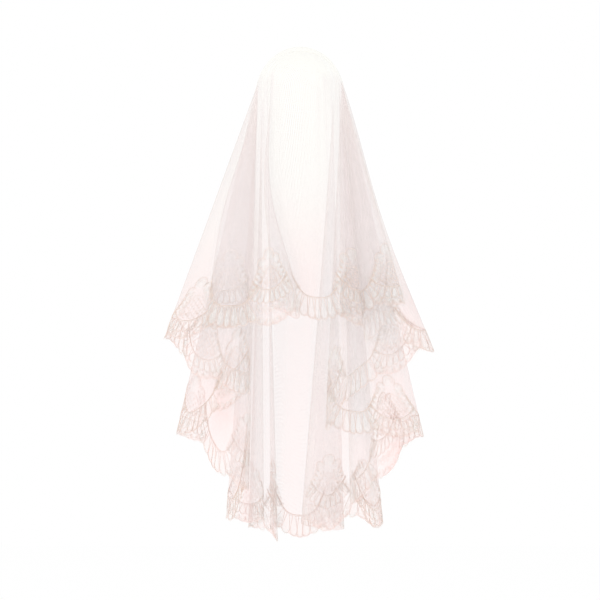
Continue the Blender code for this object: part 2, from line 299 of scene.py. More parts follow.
def dome_point(across, depth):
    """The cloth on the head, with its shallow tuck from temple to temple."""
    spread = (across / HEAD_HALF_WIDTH) ** 2 + (depth / HEAD_HALF_DEPTH) ** 2
    fade = np.sqrt(np.clip(1 - spread, 0, 1))
    from_trough = (depth - TUCK_DEPTH) / TUCK_WIDTH
    step = TUCK_STEP * (1 - np.tanh(from_trough)) / 2
    trough = TUCK_DIP * np.exp(-(from_trough**2))
    height = CROWN_HEIGHT * (fade - 1) - (step + trough) * fade
    return np.stack([across, depth, height], axis=-1)


controls, owners = hem_controls()
hem_curve = closed_spline(controls, SPAN_SAMPLES)
hem_curve = np.vstack([hem_curve, hem_curve[:1]])
hem_distance = travelled(np.linalg.norm(np.diff(hem_curve[:, :3], axis=0), axis=1))
HEM_LENGTH = hem_distance[-1]
fold_at = {
    fold.name: hem_distance[owner * SPAN_SAMPLES]
    for fold, owner in zip(FOLDS, owners, strict=True)
}
motif_numbers = [number for number, _, _ in MOTIF_PLACES] + [MOTIFS]
motif_places = [fold_at[name] + on for _, name, on in MOTIF_PLACES] + [HEM_LENGTH]
print("hem", round(HEM_LENGTH, 3), "m,", MOTIFS, "motifs of lace")

# %% [markdown]
# ## Creases, shades and flutter
# Between its big folds real net is never flat. It keeps soft creases from where it was folded away
# and from its own weight, and its free edge flutters. The creases are listed one by one: how far
# along the hem from a fold, how wide and deep, and between which levels. Level 1 is where the
# cloth leaves the head and level 2 is the hem. A few folds also hang bowed: they drop nearly
# straight from the temple and swing out only lower down. Real net also gathers more layers in
# some places than this drape has, and fewer in others. A second table makes the net deeper or
# paler in tone there.

# %% Tables of creases, shades and bows
CREASES = (  # from fold, mm on, width, depth (below 0 a trough), first level, last level
    ("centre front", -30, 10, 2.2, 1.02, 1.75),
    ("centre front", 22, 8, -1.6, 1.1, 2),
    ("front panel, right", -18, 12, 2, 1, 1.6),
    ("front edge, right", 30, 7, -1.5, 1.15, 2),
    ("front section, right", -24, 9, 1.8, 1.05, 1.85),
    ("front section, right", 20, 11, -2, 1.2, 2),
    ("front section, right", 55, 8, 1.6, 1, 1.55),
    ("inner fold 1, right", 60, 8, 1.3, 1.1, 1.9),
    ("cascade 1, right", -20, 10, -1.4, 1.2, 2),
    ("cascade 1, right", 50, 9, 1.3, 1.05, 1.7),
    ("inner fold 2, right", 80, 10, 1.4, 1.15, 2),
    ("cascade 2, right", 10, 8, -1.3, 1.3, 2),
    ("cascade 3, right", 0, 10, 1.4, 1.1, 1.8),
    ("back section, right", 0, 10, 1.8, 1.1, 2),
    ("centre back, right", -20, 12, 2.6, 1.05, 2),
    ("centre back, right", 18, 9, -2.2, 1, 1.7),
    ("centre back, left", 16, 13, 2.8, 1.15, 2),
    ("centre back, left", 52, 10, -2, 1.05, 1.8),
    ("back section, left", 12, 9, 1.8, 1.1, 1.9),
    ("back notch, left", -14, 8, -1.6, 1.25, 2),
    ("back corner, left", 55, 9, 1.5, 1.15, 1.85),
    ("cascade 3, left", 10, 10, -1.4, 1.2, 2),
    ("cascade 2, left", -30, 9, 1.4, 1.1, 1.75),
    ("cascade 2, left", 40, 11, -1.3, 1.3, 2),
    ("cascade 1, left", -45, 9, 1.3, 1.05, 1.8),
    ("cascade 1, left", 30, 10, 1.4, 1.25, 2),
    ("inner fold 1, left", 45, 8, -1, 1.15, 1.8),
    ("under front, left", -60, 8, 1.2, 1.05, 1.7),
    ("front panel, left", -12, 9, 1.8, 1, 1.8),
    ("front panel, left", 24, 10, -1.8, 1.15, 2),
)
SHADES = (  # from fold, mm on, half width, tone (below 0 paler), first level, last level
    ("front section, right", -30, 42, 0.15, 0.98, 2),
    ("inner fold 1, right", 98, 12, 1.3, 1.35, 1.9),
    ("second corner, right", 0, 12, 0.6, 1.75, 2),
    ("cascade 3, right", 0, 60, 4, 1.7, 1.97),
    ("inner fold 3, right", 0, 50, -1, 0.75, 1.5),
    ("back section, right", 6, 12, 3, 1.2, 2),
    ("back edge, right", 22, 20, -2, 1.45, 2),
    ("pinch, right", -5, 12, -1.2, 0.7, 1.45),
    ("pinch return, right", 2, 9, -1.5, 1.35, 2),
    ("under back, left", 50, 45, -2.2, 0.6, 1.7),
    ("back section, left", 50, 20, 1.2, 1.6, 1.9),
    ("inner fold 3, left", 20, 50, -1.5, 0.75, 1.45),
    ("cascade 3, left", 30, 50, 3, 1.85, 2),
    ("first corner, left", 20, 35, 1.2, 1.7, 1.95),
    ("inner fold 1, left", 0, 8, 0.8, 1, 1.95),
    ("front panel, left", -4, 6, 3, 1.62, 1.9),
)
BOWS = (  # fold, metres along to each side, most it swings across, first level, last level
    ("under front, right", 0.05, -0.01, 1, 1.9),
    ("front edge, right", 0.07, -0.023, 1, 1.9),
    ("cheek fold, right", 0.06, -0.019, 1.05, 2.05),
    ("first corner, left", 0.09, -0.015, 1, 2.1),
)
FLUTTER = 0.0011  # how far the free edge waves
FLUTTER_WAVES = (0.061, 0.143)  # metres of hem to each wave
FLUTTER_DRIFT = 1.3  # how unevenly the waves follow each other
CREASE_FADE = 0.12  # levels over which a crease or a shade dies away
CREASE_FLATNESS, SHADE_FLATNESS = 2, 4  # a shade keeps its tone nearly to its edges


def off_fold(along, name, on=0.0):
    """How far along the hem a place is from a fold, either way round."""
    return (along - fold_at[name] - on + HEM_LENGTH / 2) % HEM_LENGTH - HEM_LENGTH / 2


def bow_across(along, level):
    """How far a bowed fold swings across between its two ends."""
    across = np.zeros(np.broadcast(along, level).shape)
    for name, reach, most, first, last in BOWS:
        share = np.clip((level - first) / (last - first), 0, 1)
        swing = most * np.sin(np.pi * share) ** 2
        across = across + swing * np.exp(-((off_fold(along, name) / reach) ** 2))
    return across


def placed_by_hand(table, along, level, flatness):
    """The sum of a table's rows at a place on the cloth."""
    total = np.zeros(np.broadcast(along, level).shape)
    for name, on, width, most, first, last in table:
        off = off_fold(along, name, on / 1000) * 1000
        rise = np.clip((level - first) / CREASE_FADE, 0, 1)
        fall = np.clip((last - level) / CREASE_FADE, 0, 1) if last < 2 else 1.0
        total = total + most * np.exp(-((off / width) ** flatness)) * rise * fall
    return total


def crease_height(along, level):
    """How far creases and flutter lift the net off the plain drape."""
    height = placed_by_hand(CREASES, along, level, CREASE_FLATNESS) / 1000
    free = np.clip(level - 1, 0, 1) ** 2
    for wave in FLUTTER_WAVES:
        turns = 2 * np.pi * round(HEM_LENGTH / wave) * along / HEM_LENGTH
        height = height + FLUTTER * free * np.sin(turns + FLUTTER_DRIFT * np.sin(turns / 3))
    return height


print(len(CREASES), "creases,", len(SHADES), "shades and", len(BOWS), "bowed folds placed by hand")

# %% [markdown]
# ## Points on the cloth
# Everything that follows asks where the cloth is so far along the hem, at such a level. The form
# answers with the head's dome, then the straight fall. A second function gives the direction out
# of the cloth, and a third adds creases, flutter and a lift off the net, which is how the lace
# comes to lie on top.


# %% Points on the cloth
def unit(vectors):
    return vectors / np.linalg.norm(vectors, axis=-1, keepdims=True)


def read_curves(along):
    """The point of the hem, and the point where the cloth above it leaves the head."""
    place = np.mod(along, HEM_LENGTH)
    values = [np.interp(place, hem_distance, column) for column in hem_curve.T]
    return np.stack(values[:3], axis=-1), dome_point(values[3], values[4])


def fall_length(along):
    hem, top = read_curves(along)
    return np.linalg.norm(hem - top, axis=-1)


def form_point(along, level):
    """The drape with no creases: over the head to level 1, then the fall to the hem."""
    hem, top = read_curves(along)
    on_head = np.clip(level, 0, 1)
    fallen = np.clip(level - 1, 0, None)[..., None]
    on_dome = dome_point(top[..., 0] * on_head, top[..., 1] * on_head)
    bowed = bow_across(along, level)[..., None] * (1.0, 0.0, 0.0)
    return on_dome + (hem - top) * fallen + bowed


def outward(along, level):
    level_probe = PROBE / fall_length(along)
    course = form_point(along + PROBE, level) - form_point(along - PROBE, level)
    fall = form_point(along, level + level_probe) - form_point(along, level - level_probe)
    return unit(np.cross(course, fall))


def cloth_point(along, level, lift):
    """A point on the creased net, lifted off it, and the direction out of the net there."""
    out = outward(along, level)
    return form_point(along, level) + out * (crease_height(along, level) + lift)[..., None], out


def motif_at(along):
    """Which motif lies here: a whole number in its middle, even for a swag."""
    return np.interp(np.mod(along, HEM_LENGTH), motif_places, motif_numbers)


def motif_place(number):
    return np.interp(np.mod(number, MOTIFS), motif_numbers, motif_places)


def hem_level(along):
    rise = NOTCH_RISE * (1 - np.abs(np.cos(np.pi * motif_at(along))))
    return 2 - rise / fall_length(along)


def columns(count):
    """Distances along the whole hem, closer together where it bends."""
    fine = np.linspace(0, HEM_LENGTH, count * 12)
    course = np.diff(read_curves(fine)[0][:, :2], axis=0)
    heading = np.unwrap(np.arctan2(course[:, 1], course[:, 0]))
    bend = np.abs(np.diff(heading, prepend=heading[0]))
    filled = travelled(np.diff(fine) + BEND_PULL * bend)
    return np.interp(np.linspace(0, filled[-1], count + 1), filled, fine)


print("the front falls", round(float(fall_length(0.0)), 3), "m from the head to its hem")

# %% [markdown]
# ## The net
# Veil net is a knitted mesh of hexagons about a millimetre wide. Its threads cover about a fifth
# of the view, so it's one sheet with a see-through finish and not a million holes. Where many
# layers hang one behind another they shade each other, and that shade is painted into the
# colour: the blush turns to ash rose. So each point keeps how many layers share its place from
# front to back, how sharply the net turns there and how deep its shade is. The flat cut goes
# into a UV map in metres, so that the mesh keeps its size and grain from the crown to the hem.

# %% Finish of the net
CREAM = (0.86, 0.845, 0.76, 1.0)  # the crown
BLUSH = (0.89, 0.57, 0.535, 1.0)  # from the shoulders down
# Painted shade: the net turns to this colour where many layers hang one behind another.
PAINTED_SHADE_ROSE = (0.72, 0.65, 0.645, 1.0)  # many layers deep
FOLD_TAN = (0.72, 0.64, 0.62, 1.0)  # along a sharp fold
CREAM_FROM, BLUSH_FROM = -0.24, -0.60  # heights between which one turns to the other
NET_COVER = 0.19  # how much of the view a layer takes
TURN_COVER = 0.06  # how much more it takes at a sharp fold, or for a shade of 1
TAN_POWER = 1.4  # above 1 only the sharper folds turn tan
CLOUDS = (7.0, 3.0)  # scale and detail
CLOUD_DRIFT = 0.10  # metres by which the change from cream to blush wanders
MESH_WIDTH = 0.0013
THREAD_EDGES = (0.02, 0.30)  # from the edge of a cell, where its thread fades to its opening
THREAD_COVER = (1.6, 0.55)  # cover of a thread and of an opening, against their mean


def add_node(tree, kind, inputs, **settings):
    """A new node with these inputs and settings. It gives back its outputs."""
    node = tree.nodes.new("ShaderNode" + kind)
    for name, value in settings.items():
        setattr(node, name, value)
    set_inputs(tree, node, inputs)
    return node.outputs


def math_node(tree, operation, *values):
    return add_node(tree, "Math", dict(enumerate(values)), operation=operation)[0]


def spread(tree, value, first, last, low=0.0, high=1.0):
    """Low where the value is first, high where it is last, and eased between."""
    inputs = {"Value": value, "From Min": first, "From Max": last, "To Min": low, "To Max": high}
    return add_node(tree, "MapRange", inputs, interpolation_type="SMOOTHSTEP")["Result"]


def mixed(tree, share, first, second):
    inputs = {"Factor": share, "A": first, "B": second}
    return add_node(tree, "Mix", inputs, data_type="RGBA")["Result"]


def kept_value(tree, name):
    return add_node(tree, "Attribute", {}, attribute_name=name)["Fac"]


def clouds(tree, scale, detail):
    place = add_node(tree, "TexCoord", {})["Object"]
    noise = add_node(tree, "TexNoise", {"Vector": place, "Scale": scale, "Detail": detail})
    return place, noise["Fac"]


def net_colour(tree):
    """Cream to blush down the drop, ash rose as painted shade where deep, tan along the folds."""
    place, cloud = clouds(tree, *CLOUDS)
    height = add_node(tree, "SeparateXYZ", {"Vector": place})["Z"]
    drift = math_node(tree, "MULTIPLY_ADD", cloud, CLOUD_DRIFT, -CLOUD_DRIFT / 2)
    drifted = math_node(tree, "ADD", height, drift)
    blush = mixed(tree, spread(tree, drifted, CREAM_FROM, BLUSH_FROM), CREAM, BLUSH)
    # Painted shade: towards ash rose where many layers hang one behind another.
    deep = mixed(tree, kept_value(tree, "layers"), blush, PAINTED_SHADE_ROSE)
    sharp = math_node(tree, "POWER", kept_value(tree, "turn"), TAN_POWER)
    return mixed(tree, sharp, deep, FOLD_TAN)


def net_cover(tree):
    """The share of the view that the net takes: its mesh, with more in folds and shades."""
    cut = add_node(tree, "UVMap", {}, uv_map="cut")["UV"]
    inputs = {"Vector": cut, "Scale": 1 / MESH_WIDTH, "Randomness": 0.25}
    to_edge = {"voronoi_dimensions": "2D", "feature": "DISTANCE_TO_EDGE"}
    cells = add_node(tree, "TexVoronoi", inputs, **to_edge)
    thread = spread(tree, cells["Distance"], *THREAD_EDGES, *THREAD_COVER)
    deeper = math_node(tree, "ADD", kept_value(tree, "turn"), kept_value(tree, "shade"))
    cover = math_node(tree, "MULTIPLY_ADD", deeper, TURN_COVER, NET_COVER)
    return math_node(tree, "MULTIPLY", cover, thread)


def net_finish():
    finish, tree, shader = new_finish("net_finish", 0.8)
    inputs = {"Base Color": net_colour(tree), "Alpha": net_cover(tree)}
    set_inputs(tree, shader, {**inputs, "Sheen Weight": 0.15, "Sheen Roughness": 0.4})
    return finish


NET = net_finish()
print("net finish:", MESH_WIDTH * 1000, "mm mesh,", NET_COVER, "cover")

# %% Where the net turns, and where many layers get painted shade
TURN_REACH = 0.011  # a fold of this radius counts as sharp
# Between these counts of layers the painted shade of ash rose comes in.
FEW_LAYERS, MANY_LAYERS = 1.2, 3.8  # between them the blush turns to ash rose
TUCK_SHADE_WIDTH = 0.004
TUCK_SHADE, TUCK_LEFT = 0.8, 0.7  # its shade, and how much deeper that is on the left
RASTER_HEIGHTS = np.linspace(0.0, -1.1, 221)
RASTER_ACROSS = np.linspace(-0.31, 0.31, 249)


def smoothed(values, times):
    for _ in range(times):
        values = (np.roll(values, 1, axis=1) + 2 * values + np.roll(values, -1, axis=1)) / 4
    return values


def turn_sharpness(points):
    """1 where a row of the net turns sharply, 0 where it lies flat."""
    ahead, behind = np.roll(points, -1, axis=1) - points, points - np.roll(points, 1, axis=1)
    lengths = (np.linalg.norm(ahead, axis=-1) + np.linalg.norm(behind, axis=-1)) / 2
    cosine = np.clip((unit(ahead + 1e-12) * unit(behind + 1e-12)).sum(axis=-1), -1, 1)
    sharp = np.clip(np.arccos(cosine) / np.maximum(lengths, 1e-4) * TURN_REACH, 0, 1)
    return smoothed(sharp, 2)


def count_layers(points):
    """How many layers of net hang behind each other, by height and place across."""
    counts = []
    for height in RASTER_HEIGHTS:
        across = np.array([
            np.interp(-height, -column[:, 2], column[:, 0], right=np.nan)
            for column in points.swapaxes(0, 1)
        ])
        ends = np.sort(np.stack([across, np.roll(across, -1)]), axis=0)[..., None]
        counts.append(((ends[0] <= RASTER_ACROSS) & (RASTER_ACROSS < ends[1])).sum(axis=0))
    return np.array(counts, float)


def layer_shade_share(points):
    """0 where few layers hang, 1 where many do: the share of painted shade."""
    counts = smoothed(count_layers(points), 1)
    row = np.interp(-points[..., 2], -RASTER_HEIGHTS, np.arange(len(RASTER_HEIGHTS)))
    column = np.interp(points[..., 0], RASTER_ACROSS, np.arange(len(RASTER_ACROSS)))
    found = counts[np.round(row).astype(int), np.round(column).astype(int)]
    return smoothed(np.clip((found - FEW_LAYERS) / (MANY_LAYERS - FEW_LAYERS), 0, 1), 2)


def tuck_shade(points, level):
    """Along the trough of the tuck, where the net is doubled, and deeper to the left."""
    trough = np.exp(-(((points[..., 1] - TUCK_DEPTH) / TUCK_SHADE_WIDTH) ** 2))
    shade = TUCK_SHADE + TUCK_LEFT * points[..., 0] / HEAD_HALF_WIDTH
    return trough * shade * (level <= 1)


print("a fold is sharp under", TURN_REACH * 1000, "mm of radius")

# %% The net itself
NET_COLUMNS = 832
DOME_ROWS = 40
FALL_ROWS = 42
WALL_MIDDLE = 0.0005  # the net runs in the middle of the wall that it replaces
CUT_WIDTH, CUT_LENGTH = 1.40, 1.80  # the oval, cut flat
HANG_FROM = 0.9  # the level from which the net hangs free of the head
PALEST, DEEPEST = -2.5, 4.0  # limits of a shade


def net_grid():
    along = columns(NET_COLUMNS)[:-1]
    on_head, below = np.linspace(0, 1, DOME_ROWS + 1)[1:], 1 + np.linspace(0, 1, FALL_ROWS)[1:]
    share = np.concatenate([on_head, below])[:, None]
    level = np.where(share <= 1, share, 1 + (share - 1) * (hem_level(along) - 1))
    return np.broadcast_to(along, level.shape), level


def grid_mesh(name, points, pole):
    """A closed ring of columns, row by row, joined to a pole."""
    rows, count = points.shape[:2]
    number = 1 + np.arange(rows * count).reshape(rows, count)
    following = np.roll(number, -1, axis=1)
    fan_faces = np.stack([np.zeros(count, int), following[0], number[0]], axis=-1)
    quads = np.stack([number[:-1], following[:-1], following[1:], number[1:]], axis=-1)
    faces = fan_faces.tolist() + quads.reshape(-1, 4).tolist()
    mesh = bpy.data.meshes.new(name)
    mesh.from_pydata(np.vstack([pole[None], points.reshape(-1, 3)]), [], faces)
    mesh.shade_smooth()
    return mesh


def keep_value(mesh, name, values):
    """Write a value to each point of the mesh. The pole gets none."""
    kept = mesh.attributes.new(name, "FLOAT", "POINT")
    kept.data.foreach_set("value", np.concatenate([[0.0], values.ravel()]).astype(np.float32))


def lay_flat(mesh, along, level):
    """The flat oval that the net was cut from, in metres, as a UV map."""
    angle, radius = 2 * np.pi * along / HEM_LENGTH, level / 2
    across = radius * np.sin(angle) * CUT_WIDTH / 2
    lengthwise = radius * np.cos(angle) * CUT_LENGTH / 2
    flat = np.vstack([[[0.0, 0.0]], np.stack([across, lengthwise], -1).reshape(-1, 2)])
    corners = np.zeros(len(mesh.loops), int)
    mesh.loops.foreach_get("vertex_index", corners)
    mesh.uv_layers.new(name="cut").data.foreach_set("uv", flat[corners].astype(np.float32).ravel())


def make_net():
    along, level = net_grid()
    points, _ = cloth_point(along, level, WALL_MIDDLE)
    pole = dome_point(np.array(0.0), np.array(0.0)) + (0, 0, WALL_MIDDLE)
    mesh = grid_mesh("net", points, pole)
    mesh.materials.append(NET)
    hanging = np.clip((level - HANG_FROM) / (1 - HANG_FROM), 0, 1)
    shade = placed_by_hand(SHADES, along, level, SHADE_FLATNESS) + tuck_shade(points, level)
    keep_value(mesh, "turn", turn_sharpness(points) * hanging)
    keep_value(mesh, "shade", np.clip(shade, PALEST, DEEPEST))
    # The share of painted shade, from how many layers hang here.
    keep_value(mesh, "layers", layer_shade_share(points) * hanging)
    lay_flat(mesh, along, level)
    return add_object("net", mesh)


net = make_net()
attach(net, "root")
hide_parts("tulle_front", "tulle_back")
print("net:", len(net.data.polygons), "faces")

# %% [markdown]
# ## The lace, on paper
# A lace maker pins the work over a pricked card, and the card here is a chart in millimetres: x
# along the hem from the middle of a motif, h up from the hem. Two kinds of motif take turns. The
# open swag is a corded bow whose petals hang down to the hem. The arched medallion has a bow of
# its own, a dotted field, and an edge of shells with leaves inside it that climbs to a tip. Every
# second one is taller, and has scrolls at its foot where the low one has shells.

# %% Strokes and patches
PITCH = 98.0  # from the middle of a motif to the next
CORD, PETAL_CORD, FINE_CORD, HAIR, LASH = 1.5, 0.95, 0.6, 0.4, 0.55  # widths of the threads
LASH_LENGTH = 3.4
BAND_GAP = 2.9  # between the two cords of a bow


class Stroke(NamedTuple):
    """A cord along a line of the chart, or a patch of close work with a width at each point."""

    points: np.ndarray
    width: np.ndarray
    patch: bool


def cord(points, width):
    points = np.asarray(points, float)
    return Stroke(points, np.full(len(points), float(width)), False)


def patch(points, widths):
    return Stroke(np.asarray(points, float), np.asarray(widths, float), True)


def swag_line(x):
    """The lace's upper edge, x from the middle of a swag."""
    arch = ((1 - np.cos(np.pi * np.asarray(x) / PITCH)) / 2) ** ARCH_SHARPNESS
    return 1000 * (SWAG_HEIGHT + (ARCH_HEIGHT - SWAG_HEIGHT) * arch)


def tip_line(x):
    """The same edge, x from the middle of a medallion."""
    return swag_line(PITCH - np.abs(x))


def hem_line(x):
    return 1000 * NOTCH_RISE * (1 - np.abs(np.cos(np.pi * np.asarray(x) / PITCH)))


def rays(angle):
    """The direction of an angle, or of each of several."""
    return np.stack([np.cos(angle), np.sin(angle)], -1)


def placed(shape, origin, angle):
    """A shape drawn pointing along +x, turned by angle and moved to origin."""
    c, s = math.cos(angle), math.sin(angle)
    return np.asarray(shape, float) @ np.array(((c, s), (-s, c))) + np.asarray(origin, float)


def across_by(points, distance):
    """A line moved to its left by a distance."""
    course = np.gradient(points, axis=0)
    normal = np.stack([-course[:, 1], course[:, 0]], -1) / np.linalg.norm(course, axis=1)[:, None]
    return points + normal * distance


def bow_cords(x, heights):
    """A thick cord over a thin one, with close work between."""
    upper = np.stack([x, heights], -1)
    lower, between = across_by(upper, -BAND_GAP), across_by(upper, -BAND_GAP / 2)
    return [cord(upper, CORD), cord(lower, FINE_CORD), patch(between, np.full(len(x), BAND_GAP))]


def lashes(centre, radius, first, last, count):
    """Hair-fine loops that stand out from the edge."""
    reach = np.array(((radius,), (radius + LASH_LENGTH,)))
    return [cord(centre + ray * reach, LASH) for ray in rays(np.linspace(first, last, count))]


print("motifs stand", PITCH, "mm apart on the chart")

# %% Petals, leaves, shells and curls
ROOT_SHARE, TIP_SHARE = 0.5, 0.97  # of its place that a petal fills at its root and its tip
INNER_SHARE = 0.72  # of its tip, for the line inside a petal
LEAF_WIDTH = 7
SHELL_TURN = 1.9  # radians that a shell opens to each side
SHELL_RINGS = (1.0, 0.76, 0.5)
LASHED_BELOW = 5.0  # petals that end lower than this stand at the hem and have lashes


def petal(root, angle, length, narrow, wide):
    """A petal that opens from a narrow root to a round tip with a second line inside it."""
    round_from = length - wide / 2
    tip = rays(np.linspace(-np.pi / 2, np.pi / 2, 7)) * wide / 2 + (round_from, 0)
    shape = np.vstack([(0, -narrow / 2), tip, (0, narrow / 2)])
    inside = (tip - (round_from, 0)) * INNER_SHARE + (round_from, 0)
    spine = np.array(((0.04, 0), (0.4, 0), (0.75, 0), (0.97, 0))) * (length, 0)
    widths = (narrow * 0.8, (narrow + wide) * 0.42, wide * 0.85, wide * 0.45)
    return [
        cord(placed(shape, root, angle), PETAL_CORD),
        cord(placed(inside, root, angle), HAIR),
        patch(placed(spine, root, angle), widths),
    ]


def leaf(root, angle, length):
    """A pointed leaf: outline, midrib and close work."""
    t = np.linspace(0, 1, 7)
    edge = LEAF_WIDTH / 2 * np.sin(np.pi * t**0.8)
    side = np.stack([length * t, edge], -1)
    outline, rib = np.vstack([side, (side * (1, -1))[-2::-1]]), side * (1, 0)
    return [
        cord(placed(outline, root, angle), HAIR),
        cord(placed(rib[::2], root, angle), HAIR),
        patch(placed(rib, root, angle), 1.7 * edge),
    ]


def shell(centre, radius, facing, width=FINE_CORD):
    """Rings of thread like those of a shell, open towards its root."""
    round_it = rays(np.linspace(facing - SHELL_TURN, facing + SHELL_TURN, 9)) * radius
    centre = np.asarray(centre, float)
    strokes = [cord(centre + round_it * SHELL_RINGS[0], width)]
    strokes += [cord(centre + round_it * ring, HAIR) for ring in SHELL_RINGS[1:]]
    spine = np.outer((-0.6, 0.2, 0.8), rays(facing) * radius)
    return [*strokes, patch(centre + spine, np.array((0.8, 1.5, 0.9)) * radius)]


def curl(centre, start, size, turns, way):
    """A scroll that winds in to its centre. way is 1 to the left and -1 to the right."""
    t = np.linspace(0, 1, max(7, round(12 * turns)))
    radius = size * (1 - 0.75 * t)
    wind = start + way * 2 * np.pi * turns * t
    return cord(np.asarray(centre, float) + radius[:, None] * rays(wind), FINE_CORD)


def fan(line, spread_to, count, floor, longest, lean_share):
    """Petals that hang side by side from a line and open like a fan."""
    x = np.linspace(-spread_to, spread_to, 200)
    run = travelled(np.hypot(np.diff(x), np.diff(line(x))))
    roots = np.interp((np.arange(count) + 0.5) / count * run[-1], run, x)
    lean = lean_share * np.arctan(line(roots + 0.5) - line(roots - 0.5))
    start = line(roots) - BAND_GAP / np.cos(lean)
    length = np.minimum(longest, (start - floor - hem_line(roots)) / np.cos(lean))
    tips = roots + length * np.sin(lean)
    narrow, wide = run[-1] / count * ROOT_SHARE, np.gradient(tips) * np.cos(lean) * TIP_SHARE
    strokes = []
    for index in range(count):
        root = np.array((roots[index], start[index]))
        angle = lean[index] - np.pi / 2
        strokes += petal(root, angle, length[index], narrow, wide[index])
        centre = root + (length[index] - wide[index] / 2) * rays(angle)
        if floor < LASHED_BELOW:
            strokes += lashes(centre, wide[index] / 2, angle - 1.1, angle + 1.1, 7)
    return strokes


print("a petal has", len(petal((0, 0), 0, 40, 10, 16)), "strokes")

# %% The open swag
SWAG_PETALS = 7


def swag():
    x = np.linspace(-56, 56, 41)
    strokes = bow_cords(x, swag_line(x))
    strokes += fan(swag_line, 40, SWAG_PETALS, floor=1.5, longest=46, lean_share=0.5)
    for side in (-1, 1):
        strokes += leaf((side * 49, 62), math.pi / 2 + side * 0.9, 17)
        strokes.append(curl((side * 47, 34), math.pi / 2, 6.0, 1.3, side))
        strokes.append(curl((side * 49, 22), 0, 4.5, 1.2, -side))
    return strokes


SWAG = swag()
print("swag:", len(SWAG), "strokes")

# %% The upper part of a medallion
FLANK_SHELLS = 5
FLANK_SHELL = 8.0  # radius of a shell of the flank
FLANK_INSET = 9.0  # from the lace's edge to the middle of a shell
FLANK_END = 24.0  # the flanks stop here, beside the tip
LEAF_INSET, LEAF_LEAN = 7, 0.25  # from the middle of a shell, and radians off the edge
FLANK_BAND = 42.0  # from the lace's edge to the field
TIP_BAND = 38.0  # from the peak to the field
FIELD_STEP = 11.0
FIELD_SLOPE = 1.25
FIELD_RIM = 2.2  # from the field's arch to a second line
MESH_HAIR = 0.3
DOT = 1.9
TIP_SHELLS = (  # x, millimetres under the peak, radius, lean
    (0, 15, 15.0, 0.0),
    (-20, 29, 11.5, 0.75),
    (20, 29, 11.5, -0.75),
)


def flank_line(x, peak):
    """The lace's upper edge, eased down to a peak of this height."""
    return tip_line(x) * (1 - (1 - peak / tip_line(0)) * np.clip(1 - (x / PITCH) ** 2, 0, 1))


def field_arch(x, peak):
    """The arch over the field, under the shells of the flanks and of the tip."""
    under_tip = peak - TIP_BAND - 0.012 * np.asarray(x) ** 2
    return np.minimum(flank_line(x, peak) - FLANK_BAND, under_tip)


def flanks(peak, foot):
    """A scalloped edge up both sides to a tip of three shells, with leaves inside it."""
    strokes = []
    x = np.linspace(foot, FLANK_END, 60)
    edge = np.stack([x, flank_line(x, peak) - FLANK_INSET], -1)
    run = travelled(np.hypot(*np.diff(edge, axis=0).T))
    for step in (np.arange(FLANK_SHELLS) + 0.5) / FLANK_SHELLS * run[-1]:
        place = np.array([np.interp(step, run, column) for column in edge.T])
        beyond = np.array([np.interp(step + 4, run, column) for column in edge.T])
        climb = math.atan2(*(beyond - place)[::-1])
        for side in (-1, 1):
            angle = climb if side > 0 else math.pi - climb
            strokes += shell(place * (side, 1), FLANK_SHELL, angle - side * math.pi / 2)
            root = place * (side, 1) + rays(angle + side * math.pi / 2) * LEAF_INSET
            strokes += leaf(root, angle + side * LEAF_LEAN, 15)
    for across, under, radius, lean in TIP_SHELLS:
        strokes += shell((across, peak - under), radius, math.pi / 2 + lean, PETAL_CORD)
    return strokes


def dotted_field(floor, peak, half_width):
    """A lattice of hair cords with a dot in each diamond, between a bow and the flank leaves."""
    x = np.linspace(-half_width, half_width, 41)
    over = x[field_arch(x, peak) > floor(x)]
    arch = np.stack([over, field_arch(over, peak)], -1)
    strokes = [cord(arch, FINE_CORD), cord(across_by(arch, FIELD_RIM), HAIR)]
    x = np.arange(-half_width, half_width + 0.1, 4.0)
    for slant in (-1, 1):
        for start in np.arange(-150, 150, FIELD_STEP):
            h = 100 + slant * FIELD_SLOPE * (x - start)
            inside = (h > floor(x) + 1) & (h < field_arch(x, peak) - 1)
            cuts = np.flatnonzero(np.diff(inside.astype(int))) + 1
            for run in np.split(np.arange(len(x)), cuts):
                if len(run) > 1 and inside[run[0]]:
                    strokes.append(cord(np.stack([x[run], h[run]], -1), MESH_HAIR))
    for row, h in enumerate(np.arange(40, 150, FIELD_STEP * FIELD_SLOPE / 2)):
        for dot in np.arange(-half_width + FIELD_STEP / 2 * (row % 2), half_width, FIELD_STEP):
            if floor(dot) + 3 < h < field_arch(dot, peak) - 3:
                strokes.append(cord(((dot - 1.0, h), (dot + 1.0, h)), DOT))
    return strokes


print("flank:", FLANK_SHELLS, "shells a side, field every", FIELD_STEP, "mm")

# %% The two medallions
SCROLLS = 6
SCROLL = 8.2  # radius of a scroll of the hem
HEM_SHELLS = 6
HEM_SHELL = 8.5
VINE, VINE_SWING, VINE_WAVE = 28, 3.5, 15.3  # height, swing to each side, length of a wave
BOW_RISE, BOW_BEND = 26, 2.2  # how far a bow climbs to its ends, and how late


def tall_bow(x):
    return 80 + BOW_RISE * (np.abs(x) / 44) ** BOW_BEND


def low_bow(x):
    return 42 + BOW_RISE * (np.abs(x) / 48) ** BOW_BEND


def scalloped_foot():
    """A row of shells along the hem."""
    strokes = []
    for middle in np.linspace(-38, 38, HEM_SHELLS):
        centre = (middle, float(hem_line(middle)) + HEM_SHELL + 1.5)
        strokes += shell(centre, HEM_SHELL, -np.pi / 2) + lashes(centre, HEM_SHELL, -2.7, -0.4, 8)
    return strokes


